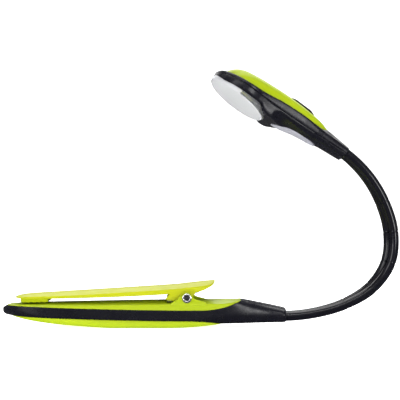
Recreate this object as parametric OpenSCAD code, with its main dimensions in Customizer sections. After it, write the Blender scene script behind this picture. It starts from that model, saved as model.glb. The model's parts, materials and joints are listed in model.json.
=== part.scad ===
/* [Case] */
// X of the rounded tip of the case
case_tip = -53; // [-53.4:0.1:-52]
// X of the flat end of the cone that the neck leaves
cone_end = 65.3; // [65:0.1:66]
// Half width of the case at its middle
case_half = 13; // [12.6:0.1:14]
// Half width of the cone at its end
cone_half = 6; // [5.4:0.1:6.5]
// Wall of the moulded shells
wall = 1.3; // [1.1:0.1:1.5]

/* [Coin cells] */
// Radius of one coin cell
cell_r = 10; // [9.8:0.1:10]
// Thickness of one coin cell
cell_t = 3.2; // [2.5:0.1:3.2]
// X of the two cells
cell_x = [-20, 2];

/* [Clip] */
// X of the clip's pin
pin_x = 24; // [23:0.5:25]
// Height of the clip's pin
pin_z = 12.5; // [12.4:0.1:12.8]
// Radius of the pin
pin_r = 1; // [0.8:0.1:1.1]
// Running clearance of the pin in the shell's ears
pin_gap = 0.05; // [0.02:0.01:0.08]
// Half width of the lever
lever_half = 10.4; // [9.6:0.1:10.5]
// Thickness of each ear of the hinge
ear_t = 2; // [1.6:0.1:2]

/* [Neck] */
// Length of one section of the neck
section_len = 12.8; // [12.6:0.1:13]
// Slope at which the neck leaves the case
neck_rise = 1.5; // [0:0.5:3]
// Radius of each of the neck's two tubes
tube_r = 1.95; // [1.9:0.05:2.05]
// How much each section bends at rest
bends = [9.5, 12.5, 17.5, 30.5, 28, 12.5, 16.5, 12.5];
// How far each section lies rolled about its own line
rolls = [3, 6, 15, 27, 37, 32, 24, 17];

/* [Head] */
// Tip of the head
head_tip = [35.1, 0, 106.2];
// Slope of the head, down towards the neck
head_slope = 32; // [31:0.5:33]
// Roll of the head about its own long axis
head_roll = 10.5; // [8:0.5:14]
// Radius of the round end of the head
head_r = 14.4; // [14.2:0.1:14.6]
// Radius of the lens
lens_r = 13.7; // [13.4:0.1:13.8]
// Tilt of the lens, deeper towards the neck
lens_tilt = 5.5; // [4:0.5:6]
// Height of the lens, from the light board to its face
lens_height = 4; // [3.8:0.1:4.2]
// Length of the head
head_len = 65; // [64.5:0.1:65.5]

/* [Hidden] */
$fn = 64;

// Colours of the materials
lime = "#c8dc28";
lever_lime = "#dee81e";
black = "#1e1e26";
steel = "#c8c8cc";
brass = "#c8a850";

// Hinge of the clip, outwards from the centre plane
ear_in = lever_half + 0.5;
pin_head_y = case_half;
pin_head_r = 2;
recess_floor = 10.1;

// Levels of the case on its centre plane
deck_floor = 6.3;
deck_top = 7.3;
door_floor = 1.1;
cell_z = deck_floor - 0.2 - cell_t;
bore_gap = 0.05;
ferrule_r = 1.6;
ferrule_len = 7;
collar_r = 1.9;
collar_len = 1;

// Joints of the neck: sections start this far after a joint and stop this far before the next
start_gap = 0.75;
stop_gap = 0.3;
ball_r = 1.1;
socket_r = 1.7;
socket_lip = 0.15;
socket_back = 2.2;
core_r = 0.7;
tube_off = tube_r;
waist = 3.7;

// Levels of the head along its own normal
parting = -0.4;
board_u = head_r + 0.2;
board_z = -1.2;
button_travel = 0.8;
button_u = 39;
button_low = 3.6;
button_top = 8.7;
cover_end = 53.5;
head_screw_u = 32.5;
head_screw_y = 5.2;

// A curve from the first point to the last, drawn towards the middle one, without its first point
function bend_curve(p, n = 7) = [for (i = [1:n]) let (t = i / n)
    p[0] * (1 - t) * (1 - t) + p[1] * 2 * t * (1 - t) + p[2] * t * t];

// The outline that joins a side's points, from tip to end, with the same points mirrored
function mirrored(pts) = concat(pts, [for (i = [len(pts) - 1:-1:0]) if (pts[i][1] > 0)
    [pts[i][0], -pts[i][1]]]);

// One side of the case in plan, drawn in by d all round
function case_side(d) = concat([[case_tip + d, 0]],
    bend_curve([[case_tip + d, 0], [case_tip + d, case_half - d], [case_tip + 24, case_half - d]], 10),
    [[10, case_half - d]],
    bend_curve([[10, case_half - d], [38, case_half - d], [52, 8 - d]]),
    [[cone_end - d, cone_half - d]]);

// Lines that bound the case's parts, seen from the side
frame_low = concat([[case_tip + 0.8, 4.9]],
    bend_curve([[case_tip + 0.8, 4.9], [-10, 3.4], [22, 3.1]]),
    bend_curve([[22, 3.1], [32, 3.1], [38.6, 1.7]], 4));
frame_high = concat([[case_tip + 0.8, 9]],
    bend_curve([[case_tip + 0.8, 9], [-10, 7.6], [22, 7.35]]),
    bend_curve([[22, 7.35], [40, 7.2], [46.4, 11.3]]));
// The rounded nose, and the cone
nose_line = [[case_tip + 0.2, 8.5], [case_tip, 7.2], [case_tip + 0.2, 5.9]];
cone_line = [[38.6, 1.7], [46, 1.8], [cone_end - 0.8, 2], [cone_end, 2.6], [cone_end, 6.6],
    [cone_end - 0.8, 7.5], [46.4, 11.3]];
door_line = concat([[38.6, 1.7]], bend_curve([[38.6, 1.7], [28, 0], [16, 0]], 4), [[-12, 0]],
    bend_curve([[-12, 0], [-34, 0], [case_tip + 0.8, 4.9]]));
top_line = concat([[case_tip + 0.8, 9]],
    bend_curve([[case_tip + 0.8, 9], [case_tip + 3, 10], [-30, 10.4]], 4),
    bend_curve([[-30, 10.4], [4, 11.3], [30, 11.4]], 4), [[42, 11.6]], [[46.4, 11.3]]);

function reversed(pts) = [for (i = [len(pts) - 1:-1:0]) pts[i]];

// A slab whose side view is the outline given, wider than the case and the head unless a width is given
module side_slab(outline, width = 30) {
    rotate([90, 0, 0])
        linear_extrude(width, center = true)
            polygon(outline);
}

// The case's plan, drawn in by d, between two heights
module case_plan(d, low, high) {
    translate([0, 0, low])
        linear_extrude(high - low)
            polygon(mirrored(case_side(d)));
}

module case_frame() {
    color(black)
        difference() {
            intersection() {
                side_slab(concat(nose_line, frame_low, cone_line, reversed(frame_high)));
                case_plan(0, 0, 13);
            }
            for (x = cell_x)
                translate([x, 0, 0])
                    cylinder(r = cell_r + 0.2, h = deck_floor);
            translate([cell_x[0], -3, 0])
                cube([cell_x[1] - cell_x[0], 6, deck_floor]);
            // space over the deck, open upwards
            intersection() {
                case_plan(wall + 1, deck_top, 13);
                translate([-46, -12, deck_top])
                    cube([86, 24, 5]);
            }
            // bore for the neck's root, with a groove for its collar
            neck_root()
                translate([-ferrule_len - 1, 0, 0])
                    rotate([0, 90, 0])
                        cylinder(r = ferrule_r + bore_gap, h = ferrule_len + 3);
            neck_root()
                translate([-ferrule_len - 0.1, 0, 0])
                    rotate([0, 90, 0])
                        cylinder(r = collar_r + bore_gap, h = collar_len + 0.2);
            // wire way from the deck to the bore
            translate([36, -1, 4.5])
                cube([cone_end - ferrule_len - 36, 2, 2]);
            translate([36, -1, 4.5])
                cube([3, 2, 4]);
            screw_shafts(0.15);
        }
}

module top_shell() {
    color(lime) {
        difference() {
            intersection() {
                side_slab(concat(frame_high, reversed(top_line)));
                case_plan(0, 0, 13);
            }
            difference() {
                intersection() {
                    case_plan(wall, 0, 13);
                    side_slab([[-48, 0], [41, 0], [41, 9.3], [0, 9.3], [-48, 8.9]]);
                }
                for (x = screw_x)
                    translate([x, 0, 0])
                        cylinder(r = 2, h = 13);
            }
            screw_shafts(0);
            // room for the lever's ears and the spring to turn round the pin
            translate([pin_x - 8.5, -ear_in, recess_floor])
                cube([12.5, 2 * ear_in, 3]);
        }
        for (side = [-1, 1])
            shell_ear(side);
    }
}

// One ear of the hinge, standing on the top shell
module shell_ear(side) {
    difference() {
        translate([0, side * (ear_in + ear_t / 2), 0])
            side_slab(concat([[pin_x - 5.5, 10.9], [pin_x - 2, pin_z + 1]],
                [for (a = [150:-20:10]) [pin_x + 2.3 * cos(a), pin_z + 2.3 * sin(a)]],
                [[pin_x + 3, pin_z + 0.2], [pin_x + 6.5, 10.9]]), ear_t);
        pin_bar(pin_r + pin_gap, 2 * case_half);
    }
}

// A bar on the pin's line
module pin_bar(radius, length) {
    translate([pin_x, 0, pin_z])
        rotate([90, 0, 0])
            cylinder(r = radius, h = length, center = true);
}

module battery_door() {
    color(lime)
        difference() {
            intersection() {
                side_slab(concat(frame_low, door_line));
                case_plan(0, 0, 13);
            }
            intersection() {
                case_plan(wall, door_floor, 13);
                translate([-25, -15, door_floor])
                    cube([52, 30, 10]);
            }
            for (x = cell_x)
                translate([x, 0, cell_z - 0.1])
                    cylinder(r = cell_r + 0.2, h = 5);
        }
}

module coin_cell(i) {
    color(steel)
        translate([cell_x[i], 0, cell_z]) {
            cylinder(r = cell_r - 0.7, h = cell_t);
            translate([0, 0, 0.3])
                cylinder(r = cell_r, h = cell_t - 0.3);
        }
}

module coin_cell_1() {
    coin_cell(0);
}

module coin_cell_2() {
    coin_cell(1);
}

// A spring contact over a cell, lying in the gap under the deck
module cell_contact(i) {
    color(brass)
        translate([cell_x[i], 0, cell_z + cell_t]) {
            cylinder(r = 4, h = 0.2);
            translate([-1.5, 0, 0])
                cube([3, cell_r, 0.2]);
        }
}

module contact_positive() {
    cell_contact(0);
}

module contact_negative() {
    cell_contact(1);
}

// The strip that joins the two cells on their lower side, on the door
module contact_link() {
    color(brass) {
        translate([cell_x[0] - 4, -3, door_floor])
            cube([cell_x[1] - cell_x[0] + 8, 6, 0.3]);
        for (x = cell_x)
            translate([x, 0, door_floor])
                cylinder(r = 2.2, h = cell_z - door_floor - 0.05);
    }
}

screw_x = [-42, 36];

module screw_shafts(gap) {
    for (x = screw_x)
        translate([x, 0, 2])
            cylinder(r = 0.9 + gap, h = 7.7);
    for (x = screw_x)
        translate([x, 0, 0])
            cylinder(r = 1.8 + gap, h = 5.6);
}

module case_screws() {
    color(steel)
        for (x = screw_x) {
            translate([x, 0, 5.6])
                cylinder(r = 0.9, h = 4);
            difference() {
                translate([x, 0, 4.6])
                    cylinder(r = 1.75, h = 1);
                translate([x - 1, -0.2, 4.5])
                    cube([2, 0.4, 0.5]);
                translate([x - 0.2, -1, 4.5])
                    cube([0.4, 2, 0.5]);
            }
        }
}

// Two wires over the deck, from the cells to the cone
module case_wires() {
    color("firebrick")
        for (side = [-1, 1])
            translate([-12, side * 4 - 0.4, deck_top + 0.1])
                cube([46, 0.8, 0.8]);
}

// Side view of the lever: upper edge, thumb end and lower edge
lever_side = concat([[-47.7, 12.6]],
    bend_curve([[-47.7, 12.6], [-46.5, 13.6], [-40, 14.1]], 4),
    bend_curve([[-40, 14.1], [6, 16.9], [20, 17.9]], 6),
    [[29.5, 19.4], [34, 19.6], [35.6, 19.1], [35.4, 18.3], [32.4, 16.3], [30.4, 15.2], [28, 14.7]],
    [[pin_x, 14.5], [8, 13.5], [-20, 12.3], [-46, 11.9], [-47.4, 12.1]]);

module lever_plan(d) {
    linear_extrude(30)
        polygon(mirrored(concat([[-47.7 + d, 0]],
            bend_curve([[-47.7 + d, 0], [-47.7 + d, lever_half - d], [-36, lever_half - d]]),
            [[24, lever_half - d]],
            bend_curve([[24, lever_half - d], [35.6 - d, lever_half - d], [35.6 - d, 0.001]]))));
}

module clip_lever() {
    color(lever_lime)
        difference() {
            union() {
                intersection() {
                    side_slab(lever_side);
                    lever_plan(0);
                }
                for (side = [-1, 1])
                    translate([0, side * (lever_half - ear_t / 2), 0])
                        side_slab(concat([[pin_x + 4, 15], [pin_x + 2.2, pin_z]],
                            [for (a = [-20:-20:-100]) [pin_x + 2 * cos(a), pin_z + 2 * sin(a)]],
                            [[pin_x - 3, 11], [pin_x - 8, 11.7], [pin_x - 6, 14.8]]), ear_t);
            }
            // hollow underside, with a rib left round the edge
            intersection() {
                lever_plan(1.6);
                side_slab([[-30, 9], [28, 9], [28, 15.9], [20, 16.2], [-30, 13.2]]);
            }
            pin_bar(pin_r, 30);
        }
}

module clip_pad() {
    color("#4a5a10")
        intersection() {
            side_slab([[-45, 10.25], [-33.6, 10.55], [-33.6, 12.05], [-45, 11.88]], 17);
            lever_plan(1);
        }
}

module clip_pin() {
    color(steel) {
        pin_bar(pin_r, 2 * pin_head_y);
        for (side = [-1, 1])
            translate([pin_x, side * pin_head_y, pin_z])
                rotate([-side * 90, 0, 0])
                    difference() {
                        cylinder(r = pin_head_r, h = 0.9);
                        translate([0, 0, 0.5])
                            cylinder(r = 1.1, h = 0.5);
                    }
    }
}

// Turns of the clip's spring round the pin. Its sleeved legs lie under the thumb end: one rises to the
// lever's hollow and one falls to the floor of the shell's recess
module clip_spring() {
    turns = 6;
    wire = 0.35;
    pitch = 0.66;
    coil_r = pin_r + 0.45;
    color(steel)
        translate([pin_x, 0, pin_z]) {
            for (i = [0:turns - 1])
                translate([0, (i - (turns - 1) / 2) * pitch, 0])
                    rotate([90, 0, 0])
                        rotate_extrude()
                            translate([coil_r, 0])
                                circle(r = wire, $fn = 24);
            for (end = [-1, 1])
                rotate([0, end > 0 ? 8 : -23, 0])
                    translate([0, end * (turns - 1) / 2 * pitch, -end * coil_r])
                        rotate([0, 90, 0])
                            cylinder(r = wire + 0.06, h = 4);
        }
}

// Slope of the neck at joint k
function heading(k) = k == 0 ? neck_rise : heading(k - 1) + bends[k - 1];

// Chord of section k as a step in the plane of the case
function chord(k) = let (half = bends[k] / 2, c = section_len * sin(half) / (half * PI / 180))
    [c * cos(heading(k) + half), 0, c * sin(heading(k) + half)];

// Place of joint k
function joint_at(k) = k == 0 ? [cone_end + 0.2, 0, 4.5] : joint_at(k - 1) + chord(k - 1);

// The frame at joint k: +X along the neck, +Z towards the inside of its bend
module at_joint(k) {
    translate(joint_at(k))
        rotate([0, -heading(k), 0])
            children();
}

module neck_root() {
    at_joint(0)
        children();
}

// Bend radius of section k
function bend_r(k) = section_len / (bends[k] * PI / 180);

// A profile swept along section k, from one distance to another
module along_section(k, from, to) {
    turn = 180 / (PI * bend_r(k));
    at_joint(k)
        translate([0, 0, bend_r(k)])
            rotate([90, 90, 0])
                rotate([0, 0, from * turn])
                    rotate_extrude(angle = (to - from) * turn, $fn = 256)
                        translate([bend_r(k), 0])
                            children();
}

// Ball, rod and socket of section k; end sections have a plain rod in place of one of them
module core(k) {
    first = k == 0;
    last = k == len(bends) - 1;
    along_section(k, first ? 0.3 : 0, section_len - (last ? 0.3 : socket_back - 0.4))
        circle(r = core_r, $fn = 24);
    if (!first)
        at_joint(k)
            sphere(r = ball_r);
    if (!last)
        at_joint(k + 1)
            difference() {
                translate([-socket_back, 0, 0])
                    rotate([0, 90, 0])
                        cylinder(r = socket_r, h = socket_back + socket_lip);
                sphere(r = ball_r + bore_gap);
            }
}

// Twin-tube sleeve of section k
module sleeve(k) {
    first = k == 0;
    last = k == len(bends) - 1;
    difference() {
        along_section(k, first ? 0.3 : start_gap, section_len - (last ? 0.9 : stop_gap))
            rotate(-rolls[k]) {
                for (side = [-1, 1])
                    translate([0, side * tube_off])
                        circle(r = tube_r);
                square([waist, 2 * tube_off], center = true);
            }
        core(k);
        if (!last)
            at_joint(k + 1)
                rotate([0, 90, 0])
                    translate([0, 0, -socket_back])
                        cylinder(r = socket_r, h = socket_back + 1);
    }
}

module neck_core(k) {
    color("dimgray")
        core(k);
}

module neck_sleeve(k) {
    color(black)
        sleeve(k);
}

// A round steel end piece with a collar, on the neck's own line; it points along -X
module ferrule() {
    color(steel)
        rotate([0, -90, 0]) {
            translate([0, 0, -0.3])
                cylinder(r = ferrule_r, h = ferrule_len + 0.3);
            translate([0, 0, ferrule_len - collar_len])
                cylinder(r = collar_r, h = collar_len);
        }
}

module neck_root_ferrule() {
    neck_root()
        ferrule();
}

module neck_head_ferrule() {
    at_joint(8)
        mirror([1, 0, 0])
            ferrule();
}

// The head's frame: +X from its tip to the neck, +Z out of its top
module in_head() {
    translate(head_tip)
        rotate([0, head_slope, 0])
            rotate([-head_roll, 0, 0])
                children();
}

// One side of the head in plan, drawn in by d all round
function head_side(d) = concat(
    [for (a = [180:-10:60]) [head_r + (head_r - d) * cos(a), (head_r - d) * sin(a)]],
    bend_curve([[head_r + (head_r - d) * cos(60), (head_r - d) * sin(60)], [34, 8 - d], [50, 6.2 - d]]),
    [[head_len - d, 5.3 - d]]);

module head_plan(d, low, high) {
    translate([0, 0, low])
        linear_extrude(high - low)
            polygon(mirrored(head_side(d)));
}

module head_bore() {
    at_joint(8) {
        translate([-3, 0, 0])
            rotate([0, 90, 0])
                cylinder(r = ferrule_r + bore_gap, h = ferrule_len + 3.3);
        translate([ferrule_len - collar_len - 0.1, 0, 0])
            rotate([0, 90, 0])
                cylinder(r = collar_r + bore_gap, h = collar_len + 0.2);
    }
}

// The frame of the lens and its light board: +Z towards the board, +X deeper towards the neck
module in_lens() {
    in_head()
        translate([board_u, 0, board_z])
            rotate([0, lens_tilt, 0])
                children();
}

// Underside of the head from its tip: round the lens, over the bump behind it and along the neck end
head_under = concat([[0, -1], [1.5, -2], [5, -3], [17, -3.5], [24, -3.4], [26, -5.3], [29.5, -5.7]],
    bend_curve([[29.5, -5.7], [34, -5.5], [38, -3.9]], 4), [[45, -3.2], [54, -3.3], [66, -3.2]]);

// Seat of the lens, with the light board against its floor
module lens_seat() {
    in_lens()
        translate([0, 0, -8])
            cylinder(r = lens_r + 0.1, h = 8);
}

module head_housing() {
    color(black)
        difference() {
            in_head()
                intersection() {
                    head_plan(0, -7, parting);
                    side_slab(concat(head_under, [[66, parting], [0, parting]]));
                }
            lens_seat();
            in_head() {
                trim_blank(0.05);
                // wire way to the neck
                translate([24, -1.5, -1.4])
                    cube([29, 3, 3]);
                translate([24, -1.5, -3.5])
                    cube([2.5, 3, 3]);
                head_screw_shafts(0.05);
            }
            head_bore();
        }
}

// Upper edge of the rim as far as the end of the cover, seen from the side
rim_top = [[0, 0.9], [5, 1.2], [10, 1.1], [17, 1.2], [21, 1.5], [30, 2.8], [37, 3.3], [43, 3.3], [50, 3],
    [cover_end - 0.1, 2.8]];

module head_rim() {
    color(black)
        difference() {
            in_head()
                difference() {
                    union() {
                        intersection() {
                            head_plan(0, parting, 6);
                            side_slab(concat([[-1, parting]], rim_top, [[66, 2.2], [66, parting]]));
                        }
                        // raised end round the neck
                        intersection() {
                            head_plan(0.3, parting, 6);
                            side_slab([[cover_end, parting], [cover_end, 4.9], [66, 2.8], [66, parting]]);
                            translate([cover_end, 0, 4.9 - 8])
                                rotate([0, 90, 0])
                                    cylinder(r = 8, h = 12);
                        }
                    }
                    difference() {
                        intersection() {
                            head_plan(2, -1, 7);
                            translate([3, -14, -1])
                                cube([cover_end - 4.5, 28, 8]);
                        }
                        head_screw_places()
                            cylinder(r = 2, h = 1.2);
                    }
                    head_screw_shafts(0.05);
                }
            lens_seat();
            head_bore();
        }
}

// Space under the dome, lowered by d
module dome(d) {
    crown = concat([[3.5, 0]], bend_curve([[3.5, 0.6], [8, 7.2], [28, 8]], 6),
        bend_curve([[28, 8], [46, 8], [58, 3.6]], 6), [[58, 0]]);
    intersection() {
        head_plan(0.5 + d, -1, 10);
        side_slab([for (p = crown) [p[0], p[1] - d]]);
        translate([-2, 0, 8.1 - 18 - d])
            rotate([0, 90, 0])
                cylinder(r = 18, h = 62, $fn = 96);
        // nothing below the rim, or past the raised end
        side_slab(concat(rim_top, [[cover_end - 0.1, 9], [0, 9]]));
    }
}

module head_cover() {
    color(lime)
        in_head()
            difference() {
                dome(0);
                intersection() {
                    dome(1.2);
                    translate([0, -15, 0])
                        cube([51, 30, 20]);
                }
                translate([button_u, 0, 2])
                    rounded_block(14.2, 7.4, 10);
            }
}

// A block with rounded ends, long along X, standing on z = 0
module rounded_block(length, width, height) {
    for (side = [-1, 1])
        translate([side * (length - width) / 2, 0, 0])
            cylinder(r = width / 2, h = height);
    translate([(width - length) / 2, -width / 2, 0])
        cube([length - width, width, height]);
}

module power_button() {
    color(black)
        in_head()
            union() {
                intersection() {
                    translate([button_u, 0, button_low])
                        rounded_block(13.6, 6.8, 5);
                    translate([button_u - 2, 0, button_top - 24])
                        rotate([90, 0, 0])
                            cylinder(r = 24, h = 10, center = true, $fn = 96);
                }
                translate([button_u, 0, button_low])
                    rounded_block(14.6, 7.8, 0.4);
            }
}

// The push switch under the button, on its own small board
module button_switch() {
    color("dimgray")
        in_head()
            translate([button_u, 0, parting]) {
                translate([-6, -3, 0])
                    cube([12, 6, 0.8]);
                translate([-2.5, -2.5, 0.8])
                    cube([5, 5, 1.4]);
                translate([0, 0, 2.2])
                    cylinder(r = 1.2, h = button_low - button_travel - 0.1 - parting - 2.2);
            }
}

// Levels of the lamp's optics below the light board's upper face
board_low = -0.8;
chip_low = -1.4;
reflector_low = -2.2;

module led_board() {
    color("white")
        in_lens()
            translate([0, 0, board_low])
                cylinder(r = lens_r - 1.2, h = 0.75);
}

led_place = [for (i = [0:4]) [5.2 * cos(i * 72), 5.2 * sin(i * 72)]];

module led_chips() {
    color("lemonchiffon")
        in_lens()
            for (p = led_place)
                translate([p[0], p[1], chip_low])
                    difference() {
                        translate([-1.4, -1.4, 0])
                            cube([2.8, 2.8, board_low - chip_low]);
                        translate([0, 0, -0.1])
                            cylinder(r = 1, h = 0.3);
                    }
}

module reflector() {
    color("gainsboro")
        in_lens()
            difference() {
                translate([0, 0, reflector_low])
                    cylinder(r = lens_r - 1.2, h = board_low - reflector_low);
                for (p = led_place)
                    translate([p[0], p[1], reflector_low - 0.1])
                        cylinder(r = 2.05, h = 2);
            }
}

module lens() {
    color("#e6eaf2", 0.6)
        in_lens()
            translate([0, 0, -lens_height])
                difference() {
                    union() {
                        cylinder(r = lens_r - 0.8, h = 0.6);
                        translate([0, 0, 0.5])
                            cylinder(r = lens_r, h = lens_height - 0.6);
                    }
                    translate([0, 0, 1.4])
                        cylinder(r = lens_r - 1.1, h = 5);
                }
}

// Leaf-shaped outline of the trim, u from 31.5 to 52, grown by d
function leaf(d) = mirrored(concat([[31.5 - d, 0]],
    bend_curve([[31.5 - d, 0], [36, 3.6 + d], [42, 3.6 + d]]),
    bend_curve([[42, 3.6 + d], [47, 3.6 + d], [52 + d, 0.001]])));

// The trim follows the hollow of the underside
module trim_blank(d) {
    intersection() {
        translate([0, 0, -7])
            linear_extrude(6)
                polygon(leaf(d));
        side_slab([[30, -6.1 - d], [34, -5.7 - d], [39, -4.5 - d], [44, -4 - d], [53, -4.2 - d], [53, -3 + d],
            [44, -3 + d], [39, -3.4 + d], [34, -4.4 + d], [30, -5 + d]], 12);
    }
}

module underside_trim() {
    color(steel)
        in_head()
            trim_blank(0);
}

// The two places of the head's screws, on the parting plane
module head_screw_places() {
    for (side = [-1, 1])
        translate([head_screw_u, side * head_screw_y, parting])
            children();
}

module head_screw_shafts(gap) {
    head_screw_places()
        translate([0, 0, -2.8])
            cylinder(r = 0.7 + gap, h = 6);
}

module head_screws() {
    color(steel)
        in_head()
            head_screw_places() {
                translate([0, 0, -2.7])
                    cylinder(r = 0.7, h = 4);
                translate([0, 0, 1.2])
                    cylinder(r = 1.2, h = 0.7);
            }
}

// Two wires from the light board to the neck
module head_wires() {
    color("firebrick")
        in_head()
            for (side = [-1, 1])
                translate([24.6, side * 0.8 - 0.35, -1.2]) {
                    cube([27.4, 0.7, 0.7]);
                    translate([0, 0, -1])
                        cube([0.7, 0.7, 1.5]);
                }
}

module neck_sleeve_1() {
    neck_sleeve(0);
}

module neck_sleeve_2() {
    neck_sleeve(1);
}

module neck_sleeve_3() {
    neck_sleeve(2);
}

module neck_sleeve_4() {
    neck_sleeve(3);
}

module neck_sleeve_5() {
    neck_sleeve(4);
}

module neck_sleeve_6() {
    neck_sleeve(5);
}

module neck_sleeve_7() {
    neck_sleeve(6);
}

module neck_sleeve_8() {
    neck_sleeve(7);
}

module neck_core_1() {
    neck_core(0);
}

module neck_core_2() {
    neck_core(1);
}

module neck_core_3() {
    neck_core(2);
}

module neck_core_4() {
    neck_core(3);
}

module neck_core_5() {
    neck_core(4);
}

module neck_core_6() {
    neck_core(5);
}

module neck_core_7() {
    neck_core(6);
}

module neck_core_8() {
    neck_core(7);
}

case_frame();
top_shell();
battery_door();
coin_cell_1();
coin_cell_2();
contact_positive();
contact_negative();
contact_link();
case_screws();
case_wires();
clip_lever();
clip_pad();
clip_pin();
clip_spring();
neck_root_ferrule();
neck_head_ferrule();
neck_sleeve_1();
neck_sleeve_2();
neck_sleeve_3();
neck_sleeve_4();
neck_sleeve_5();
neck_sleeve_6();
neck_sleeve_7();
neck_sleeve_8();
neck_core_1();
neck_core_2();
neck_core_3();
neck_core_4();
neck_core_5();
neck_core_6();
neck_core_7();
neck_core_8();
head_housing();
head_rim();
head_cover();
power_button();
button_switch();
led_board();
led_chips();
reflector();
lens();
underside_trim();
head_screws();
head_wires();
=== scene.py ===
import json
import math

import bmesh
import bpy
from mathutils import Matrix, Vector


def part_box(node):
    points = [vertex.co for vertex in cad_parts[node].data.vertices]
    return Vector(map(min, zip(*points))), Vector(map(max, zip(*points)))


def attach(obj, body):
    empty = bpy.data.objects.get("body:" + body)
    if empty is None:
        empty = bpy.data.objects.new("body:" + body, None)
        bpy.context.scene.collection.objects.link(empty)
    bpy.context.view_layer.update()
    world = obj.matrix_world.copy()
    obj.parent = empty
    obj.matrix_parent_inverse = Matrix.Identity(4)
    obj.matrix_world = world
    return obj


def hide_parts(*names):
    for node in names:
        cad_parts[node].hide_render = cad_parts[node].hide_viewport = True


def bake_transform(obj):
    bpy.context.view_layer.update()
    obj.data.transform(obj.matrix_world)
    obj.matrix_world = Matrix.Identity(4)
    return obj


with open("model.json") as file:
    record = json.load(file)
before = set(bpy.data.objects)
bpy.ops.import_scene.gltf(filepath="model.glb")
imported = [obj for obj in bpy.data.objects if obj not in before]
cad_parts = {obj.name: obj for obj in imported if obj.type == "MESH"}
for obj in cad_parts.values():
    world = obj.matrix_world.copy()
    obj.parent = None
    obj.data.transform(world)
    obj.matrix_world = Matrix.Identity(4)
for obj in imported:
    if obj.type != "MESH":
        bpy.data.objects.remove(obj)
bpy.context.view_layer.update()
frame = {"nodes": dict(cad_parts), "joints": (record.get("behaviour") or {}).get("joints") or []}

# Lengths in this script are in millimetres until a mesh is made.
MM = 0.001
JOINTS = {j["name"]: j for j in frame["joints"]}


def box_mm(node):
    lo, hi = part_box(node)
    return lo / MM, hi / MM


def centre_mm(node):
    lo, hi = box_mm(node)
    return (lo + hi) / 2


# ---------------------------------------------------------------- curves

def lerp(a, b, t):
    return a + (b - a) * t


def smooth(t):
    t = min(1.0, max(0.0, t))
    return t * t * (3 - 2 * t)


def blend_between(x, x0, x1):
    """0 before x0, 1 after x1, smooth between."""
    return smooth((x - x0) / (x1 - x0))


def curve_height(p0, p1, p2, x):
    """Height at x of the curve from p0 to p2 that is drawn towards p1."""
    a = p0[0] - 2 * p1[0] + p2[0]
    b = 2 * (p1[0] - p0[0])
    c = p0[0] - x
    if abs(a) < 1e-9:
        t = -c / b
    else:
        root = math.sqrt(max(0.0, b * b - 4 * a * c))
        t = min(((-b + s * root) / (2 * a) for s in (1, -1)), key=lambda v: abs(v - 0.5))
    t = min(1.0, max(0.0, t))
    return p0[1] * (1 - t) ** 2 + p1[1] * 2 * t * (1 - t) + p2[1] * t * t


def outline(*pieces):
    """A function of x made of pieces: each is two points for a line or three for a curve."""
    def height(x):
        for piece in pieces:
            if x <= piece[-1][0] or piece is pieces[-1]:
                if len(piece) == 2:
                    (x0, z0), (x1, z1) = piece
                    return lerp(z0, z1, min(1.0, max(0.0, (x - x0) / (x1 - x0))))
                return curve_height(*piece, x)
    return height


def near_start(t):
    return 1 - math.cos(math.pi / 2 * t)


def near_stop(t):
    return math.sin(math.pi / 2 * t)


def near_both(t):
    return 0.5 - 0.5 * math.cos(math.pi * t)


def stations(start, stop, count, packing=None):
    """Places from start to stop, in even steps or packed closer near an end."""
    return [lerp(start, stop, packing(i / count) if packing else i / count) for i in range(count + 1)]


def swell(t, power=2, root=0.5):
    """0 at 0 and 1 from 1 on, rising as steeply at first as a round end does."""
    return (1 - (1 - min(1.0, max(0.0, t))) ** power) ** root


def edge_drop(radius, past):
    """How far a rounded edge of this radius falls back at a depth past its start."""
    return radius - math.sqrt(radius ** 2 - min(radius, max(0.0, past)) ** 2)


def circle(steps, radius=1.0):
    turns = (2 * math.pi * i / steps for i in range(steps))
    return [(radius * math.cos(a), radius * math.sin(a)) for a in turns]


def quarter(steps):
    """Sine of each angle from a first step up to a right angle, and how far its cosine has fallen from 1."""
    for i in range(1, steps + 1):
        a = math.radians(90 * i / steps)
        yield math.sin(a), 1 - math.cos(a)


# ---------------------------------------------------------------- meshes

SHARP = math.radians(40)    # edges that turn more than this stay sharp


def finish_mesh(mesh, sharp):
    work = bmesh.new()
    work.from_mesh(mesh)
    bmesh.ops.remove_doubles(work, verts=work.verts, dist=1e-7)
    bmesh.ops.dissolve_degenerate(work, edges=work.edges, dist=1e-8)
    bmesh.ops.recalc_face_normals(work, faces=work.faces)
    work.to_mesh(mesh)
    work.free()
    mesh.shade_smooth()
    mesh.set_sharp_from_angle(angle=sharp)
    mesh.update()


def add(name, data):
    """Puts a new object made of this data into the scene."""
    obj = bpy.data.objects.new(name, data)
    bpy.context.collection.objects.link(obj)
    return obj


def make_object(name, points, faces, place=None, sharp=SHARP):
    """An object from points in millimetres, moved to its place."""
    mesh = bpy.data.meshes.new(name)
    place = place or Matrix.Identity(4)
    mesh.from_pydata([(place @ Vector(p)) * MM for p in points], [], faces)
    finish_mesh(mesh, sharp)
    return add(name, mesh)


def skin(rows, count, first=0, closed=False):
    """Faces between rows of count points each; a closed skin joins the last row to the first."""
    faces = []
    for row in range(rows if closed else rows - 1):
        a, b = first + row * count, first + (row + 1) % rows * count
        for i in range(count):
            j = (i + 1) % count
            faces.append((a + i, a + j, b + j, b + i))
    return faces


def loft(name, rings, place=None, sharp=SHARP):
    """A closed solid through rings that all have as many points."""
    count = len(rings[0])
    faces = skin(len(rings), count)
    faces.append(tuple(reversed(range(count))))
    faces.append(tuple((len(rings) - 1) * count + i for i in range(count)))
    return make_object(name, [p for ring in rings for p in ring], faces, place, sharp)


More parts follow.
